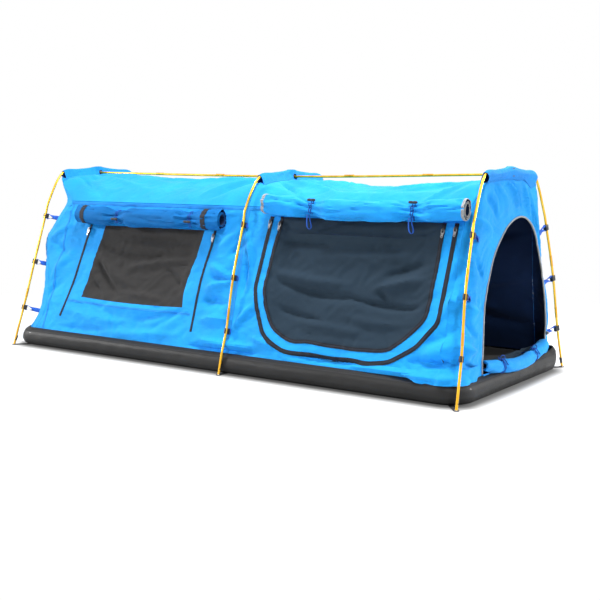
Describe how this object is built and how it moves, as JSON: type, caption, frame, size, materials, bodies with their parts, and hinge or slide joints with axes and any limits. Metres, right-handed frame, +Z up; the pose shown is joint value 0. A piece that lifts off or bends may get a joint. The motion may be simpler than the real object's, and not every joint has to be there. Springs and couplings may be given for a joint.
{
  "type": "swag bedroll",
  "caption": "Free-standing canvas swag bedroll with a PVC tub, foam mattress, bowed hoop poles and a ridge pole, mesh window, mesh side door and open head-end doorway.",
  "frame": {"origin": "on the ground, under the middle of the tub", "axes": "+X towards the open head end, +Y away from the side with the door and window, +Z up"},
  "size_m": [2.15, 0.9564, 0.774],
  "materials": {
    "canvas": "matte",
    "base_fabric": "satin",
    "mesh": "matte",
    "pole": "satin",
    "black_plastic": "satin",
    "zip": "matte",
    "zip_metal": "satin",
    "mattress": "matte",
    "binding": "matte"
  },
  "bodies": {
    "tent": {"tub_base": "base_fabric", "foam_mattress": "mattress", "near_wall": "canvas", "far_wall": "canvas", "foot_wall": "canvas", "head_wall": "canvas", "roof_panel": "canvas", "hoop_pole_foot": "pole", "hoop_pole_middle": "pole", "hoop_pole_head": "pole", "ridge_pole": "pole", "pole_sleeve_foot": "canvas", "pole_sleeve_middle": "canvas", "pole_sleeve_head": "canvas", "hub_foot": "black_plastic", "hub_middle": "black_plastic", "hub_head": "black_plastic", "window_mesh": "mesh", "window_zip_left": "zip", "window_zip_right": "zip", "door_mesh": "mesh", "door_border": "canvas", "door_outer_zip": "zip", "door_inner_zip": "zip", "window_cover_roll": "canvas", "door_cover_roll": "canvas", "head_door_piping": "binding", "head_door_roll": "canvas", "head_mesh_roll": "mesh"},
    "pole_clip_foot_near_low": {"pole_clip_foot_near_low": "black_plastic"},
    "pole_clip_foot_near_mid": {"pole_clip_foot_near_mid": "black_plastic"},
    "pole_clip_foot_near_high": {"pole_clip_foot_near_high": "black_plastic"},
    "pole_clip_foot_far_low": {"pole_clip_foot_far_low": "black_plastic"},
    "pole_clip_foot_far_mid": {"pole_clip_foot_far_mid": "black_plastic"},
    "pole_clip_foot_far_high": {"pole_clip_foot_far_high": "black_plastic"},
    "pole_clip_middle_near_low": {"pole_clip_middle_near_low": "black_plastic"},
    "pole_clip_middle_near_mid": {"pole_clip_middle_near_mid": "black_plastic"},
    "pole_clip_middle_near_high": {"pole_clip_middle_near_high": "black_plastic"},
    "pole_clip_middle_far_low": {"pole_clip_middle_far_low": "black_plastic"},
    "pole_clip_middle_far_mid": {"pole_clip_middle_far_mid": "black_plastic"},
    "pole_clip_middle_far_high": {"pole_clip_middle_far_high": "black_plastic"},
    "pole_clip_head_near_low": {"pole_clip_head_near_low": "black_plastic"},
    "pole_clip_head_near_mid": {"pole_clip_head_near_mid": "black_plastic"},
    "pole_clip_head_near_high": {"pole_clip_head_near_high": "black_plastic"},
    "pole_clip_head_far_low": {"pole_clip_head_far_low": "black_plastic"},
    "pole_clip_head_far_mid": {"pole_clip_head_far_mid": "black_plastic"},
    "pole_clip_head_far_high": {"pole_clip_head_far_high": "black_plastic"},
    "window_left_slider": {"window_left_slider": "zip_metal"},
    "window_left_pull": {"window_left_pull": "zip_metal"},
    "window_right_slider": {"window_right_slider": "zip_metal"},
    "window_right_pull": {"window_right_pull": "zip_metal"},
    "door_left_slider": {"door_left_slider": "zip_metal"},
    "door_left_pull": {"door_left_pull": "zip_metal"},
    "door_right_slider": {"door_right_slider": "zip_metal"},
    "door_right_pull": {"door_right_pull": "zip_metal"},
    "window_toggle_left": {"window_toggle_left": "black_plastic"},
    "window_toggle_right": {"window_toggle_right": "black_plastic"},
    "door_toggle_left": {"door_toggle_left": "black_plastic"},
    "door_toggle_right": {"door_toggle_right": "black_plastic"},
    "head_slider": {"head_slider": "zip_metal"}
  },
  "joints": [
    {"name": "pole_clip_foot_near_low_turn", "type": "hinge", "parent": "tent", "child": "pole_clip_foot_near_low", "pos_m": [-1.04181, -0.4199, 0.1602], "axis": [0.0637, 0.2904, 0.9548], "range_deg": [-25, 25]},
    {"name": "pole_clip_foot_near_mid_turn", "type": "hinge", "parent": "tent", "child": "pole_clip_foot_near_mid", "pos_m": [-1.02864, -0.36444, 0.3577], "axis": [0.0641, 0.2679, 0.9613], "range_deg": [-25, 25]},
    {"name": "pole_clip_foot_near_high_turn", "type": "hinge", "parent": "tent", "child": "pole_clip_foot_near_high", "pos_m": [-1.01553, -0.30854, 0.55423], "axis": [0.0647, 0.2356, 0.9697], "range_deg": [-25, 25]},
    {"name": "pole_clip_foot_far_low_turn", "type": "hinge", "parent": "tent", "child": "pole_clip_foot_far_low", "pos_m": [-1.04181, 0.4199, 0.1602], "axis": [0.0637, -0.2904, 0.9548], "range_deg": [-25, 25]},
    {"name": "pole_clip_foot_far_mid_turn", "type": "hinge", "parent": "tent", "child": "pole_clip_foot_far_mid", "pos_m": [-1.02864, 0.36444, 0.3577], "axis": [0.0641, -0.2679, 0.9613], "range_deg": [-25, 25]},
    {"name": "pole_clip_foot_far_high_turn", "type": "hinge", "parent": "tent", "child": "pole_clip_foot_far_high", "pos_m": [-1.01553, 0.30854, 0.55423], "axis": [0.0647, -0.2356, 0.9697], "range_deg": [-25, 25]},
    {"name": "pole_clip_middle_near_low_turn", "type": "hinge", "parent": "tent", "child": "pole_clip_middle_near_low", "pos_m": [0.086, -0.41865, 0.1602], "axis": [0, 0.2723, 0.9622], "range_deg": [-25, 25]},
    {"name": "pole_clip_middle_near_mid_turn", "type": "hinge", "parent": "tent", "child": "pole_clip_middle_near_mid", "pos_m": [0.086, -0.37604, 0.3577], "axis": [0, 0.2214, 0.9752], "range_deg": [-25, 25]},
    {"name": "pole_clip_middle_near_high_turn", "type": "hinge", "parent": "tent", "child": "pole_clip_middle_near_high", "pos_m": [0.086, -0.31559, 0.55423], "axis": [0, 0.2271, 0.9739], "range_deg": [-25, 25]},
    {"name": "pole_clip_middle_far_low_turn", "type": "hinge", "parent": "tent", "child": "pole_clip_middle_far_low", "pos_m": [0.086, 0.41865, 0.1602], "axis": [0, -0.2723, 0.9622], "range_deg": [-25, 25]},
    {"name": "pole_clip_middle_far_mid_turn", "type": "hinge", "parent": "tent", "child": "pole_clip_middle_far_mid", "pos_m": [0.086, 0.37604, 0.3577], "axis": [0, -0.2214, 0.9752], "range_deg": [-25, 25]},
    {"name": "pole_clip_middle_far_high_turn", "type": "hinge", "parent": "tent", "child": "pole_clip_middle_far_high", "pos_m": [0.086, 0.31559, 0.55423], "axis": [0, -0.2271, 0.9739], "range_deg": [-25, 25]},
    {"name": "pole_clip_head_near_low_turn", "type": "hinge", "parent": "tent", "child": "pole_clip_head_near_low", "pos_m": [1.05654, -0.42418, 0.1602], "axis": [-0.0513, 0.2354, 0.9706], "range_deg": [-25, 25]},
    {"name": "pole_clip_head_near_mid_turn", "type": "hinge", "parent": "tent", "child": "pole_clip_head_near_mid", "pos_m": [1.0461, -0.38691, 0.3577], "axis": [-0.0517, 0.2047, 0.9775], "range_deg": [-25, 25]},
    {"name": "pole_clip_head_near_high_turn", "type": "hinge", "parent": "tent", "child": "pole_clip_head_near_high", "pos_m": [1.03571, -0.32412, 0.55423], "axis": [-0.0501, 0.3127, 0.9485], "range_deg": [-25, 25]},
    {"name": "pole_clip_head_far_low_turn", "type": "hinge", "parent": "tent", "child": "pole_clip_head_far_low", "pos_m": [1.05654, 0.42418, 0.1602], "axis": [-0.0513, -0.2354, 0.9706], "range_deg": [-25, 25]},
    {"name": "pole_clip_head_far_mid_turn", "type": "hinge", "parent": "tent", "child": "pole_clip_head_far_mid", "pos_m": [1.0461, 0.38691, 0.3577], "axis": [-0.0517, -0.2047, 0.9775], "range_deg": [-25, 25]},
    {"name": "pole_clip_head_far_high_turn", "type": "hinge", "parent": "tent", "child": "pole_clip_head_far_high", "pos_m": [1.03571, 0.32412, 0.55423], "axis": [-0.0501, -0.3127, 0.9485], "range_deg": [-25, 25]},
    {"name": "window_left_slider_run", "type": "slide", "parent": "tent", "child": "window_left_slider", "axis": [-0.2328, -0.2435, -0.9416], "range_m": [0, 0.38]},
    {"name": "window_left_pull_lift", "type": "hinge", "parent": "window_left_slider", "child": "window_left_pull", "pos_m": [-0.73637, -0.31678, 0.51042], "axis": [-0.9725, 0.0583, 0.2254], "range_deg": [0, 110]},
    {"name": "window_right_slider_run", "type": "slide", "parent": "tent", "child": "window_right_slider", "axis": [-0.084, -0.2495, -0.9647], "range_m": [0, 0.37]},
    {"name": "window_right_pull_lift", "type": "hinge", "parent": "window_right_slider", "child": "window_right_pull", "pos_m": [-0.05804, -0.31689, 0.51], "axis": [-0.9965, 0.021, 0.0813], "range_deg": [0, 110]},
    {"name": "door_left_slider_run", "type": "slide", "parent": "tent", "child": "door_left_slider", "axis": [-0.1101, -0.2489, -0.9623], "range_m": [0, 0.21]},
    {"name": "door_left_pull_lift", "type": "hinge", "parent": "door_left_slider", "child": "door_left_pull", "pos_m": [0.20322, -0.3006, 0.57298], "axis": [-0.9939, 0.0276, 0.1066], "range_deg": [0, 110]},
    {"name": "door_right_slider_run", "type": "slide", "parent": "tent", "child": "door_right_slider", "axis": [-0.0581, -0.25, -0.9665], "range_m": [0, 0.23]},
    {"name": "door_right_pull_lift", "type": "hinge", "parent": "door_right_slider", "child": "door_right_pull", "pos_m": [0.96351, -0.30062, 0.5729], "axis": [-0.9983, 0.0145, 0.0562], "range_deg": [0, 110]},
    {"name": "window_toggle_left_turn", "type": "hinge", "parent": "tent", "child": "window_toggle_left", "pos_m": [-0.55632, -0.35061, 0.55667], "axis": [0, -0.9941, -0.1082], "range_deg": [-60, 60]},
    {"name": "window_toggle_right_turn", "type": "hinge", "parent": "tent", "child": "window_toggle_right", "pos_m": [-0.16402, -0.35019, 0.55831], "axis": [0, -0.9941, -0.1082], "range_deg": [-60, 60]},
    {"name": "door_toggle_left_turn", "type": "hinge", "parent": "tent", "child": "door_toggle_left", "pos_m": [0.39699, -0.31727, 0.65485], "axis": [0, -0.5222, 0.8528], "range_deg": [-60, 60]},
    {"name": "door_toggle_right_turn", "type": "hinge", "parent": "tent", "child": "door_toggle_right", "pos_m": [0.81092, -0.31711, 0.65549], "axis": [0, -0.5222, 0.8528], "range_deg": [-60, 60]},
    {"name": "head_slider_run", "type": "slide", "parent": "tent", "child": "head_slider", "axis": [-0.0287, -0.0327, 0.9991], "range_m": [0, 0.055]}
  ]
}
